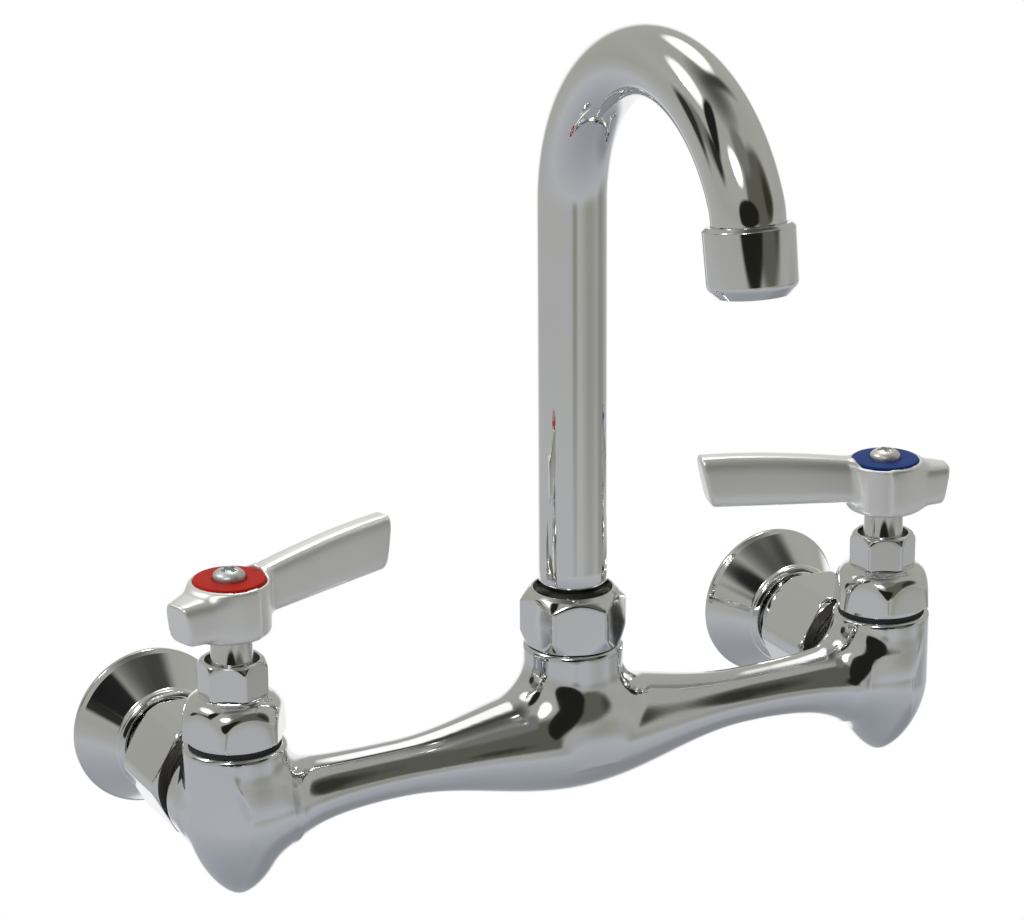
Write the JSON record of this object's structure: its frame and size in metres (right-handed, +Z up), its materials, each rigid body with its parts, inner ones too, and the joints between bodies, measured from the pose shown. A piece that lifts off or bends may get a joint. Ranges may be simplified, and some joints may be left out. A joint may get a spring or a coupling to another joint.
{
  "type": "commercial wall faucet with a swivelling gooseneck spout",
  "caption": "Chromed commercial wall faucet: bridge body, lever valves with hot and cold index rings, wall unions with flanges, and a swivelling gooseneck spout with an aerator.",
  "frame": {"origin": "midway between the two inlets, in the plane of the wall, at the height of the inlets' axis", "axes": "+X from the hot valve to the cold valve, +Y into the wall, +Z up; the spout points along -Y"},
  "size_m": [0.248, 0.163, 0.2318],
  "materials": {
    "chrome": "polished chrome plate",
    "brass": "machined brass",
    "steel": "stainless steel",
    "rubber": "black rubber",
    "packing": "white fluoropolymer",
    "insert_plastic": "moulded acetal",
    "hot_red": "moulded, glossy red",
    "cold_blue": "moulded, glossy blue"
  },
  "bodies": {
    "body": {"faucet_body": "chrome", "spout_nut": "chrome", "spout_washer": "packing", "hot_valve_seat": "brass", "hot_bonnet": "chrome", "hot_bonnet_gasket": "rubber", "hot_packing": "packing", "hot_gland": "brass", "hot_packing_nut": "chrome", "hot_coupling_nut": "chrome", "hot_inlet_washer": "rubber", "hot_inlet_shank": "chrome", "hot_shank_ring": "steel", "hot_wall_flange": "chrome", "cold_valve_seat": "brass", "cold_bonnet": "chrome", "cold_bonnet_gasket": "rubber", "cold_packing": "packing", "cold_gland": "brass", "cold_packing_nut": "chrome", "cold_coupling_nut": "chrome", "cold_inlet_washer": "rubber", "cold_inlet_shank": "chrome", "cold_shank_ring": "steel", "cold_wall_flange": "chrome"},
    "spout": {"spout_tube": "chrome", "spout_sleeve": "brass", "spout_o_rings": "rubber", "aerator_shell": "chrome", "aerator_washer": "rubber", "aerator_insert": "insert_plastic", "aerator_screen": "steel"},
    "hot_valve_disc": {"hot_washer_holder": "brass", "hot_seat_washer": "rubber", "hot_seat_screw": "steel"},
    "hot_handle": {"hot_stem": "chrome", "hot_lever": "chrome", "hot_index_ring": "hot_red", "hot_lever_screw": "chrome"},
    "cold_valve_disc": {"cold_washer_holder": "brass", "cold_seat_washer": "rubber", "cold_seat_screw": "steel"},
    "cold_handle": {"cold_stem": "chrome", "cold_lever": "chrome", "cold_index_ring": "cold_blue", "cold_lever_screw": "chrome"}
  },
  "joints": [
    {"name": "spout_swivel", "type": "hinge", "parent": "body", "child": "spout", "pos_m": [0, -0.061, 0.03], "axis": [0, 0, 1], "range_deg": [-120, 120]},
    {"name": "hot_stem_rise", "type": "slide", "parent": "body", "child": "hot_valve_disc", "axis": [0, 0, 1], "range_m": [0, 0.00125]},
    {"name": "hot_lever_turn", "type": "hinge", "parent": "hot_valve_disc", "child": "hot_handle", "pos_m": [-0.1016, -0.061, 0.05], "axis": [0, 0, 1], "range_deg": [-90, 0]},
    {"name": "cold_stem_rise", "type": "slide", "parent": "body", "child": "cold_valve_disc", "axis": [0, 0, 1], "range_m": [0, 0.00125]},
    {"name": "cold_lever_turn", "type": "hinge", "parent": "cold_valve_disc", "child": "cold_handle", "pos_m": [0.1016, -0.061, 0.05], "axis": [0, 0, 1], "range_deg": [0, 90]}
  ],
  "couplings": [
    {"joint": "hot_stem_rise", "follows": "hot_lever_turn", "m_per_rad": -0.00076394},
    {"joint": "cold_stem_rise", "follows": "cold_lever_turn", "m_per_rad": 0.00076394}
  ]
}
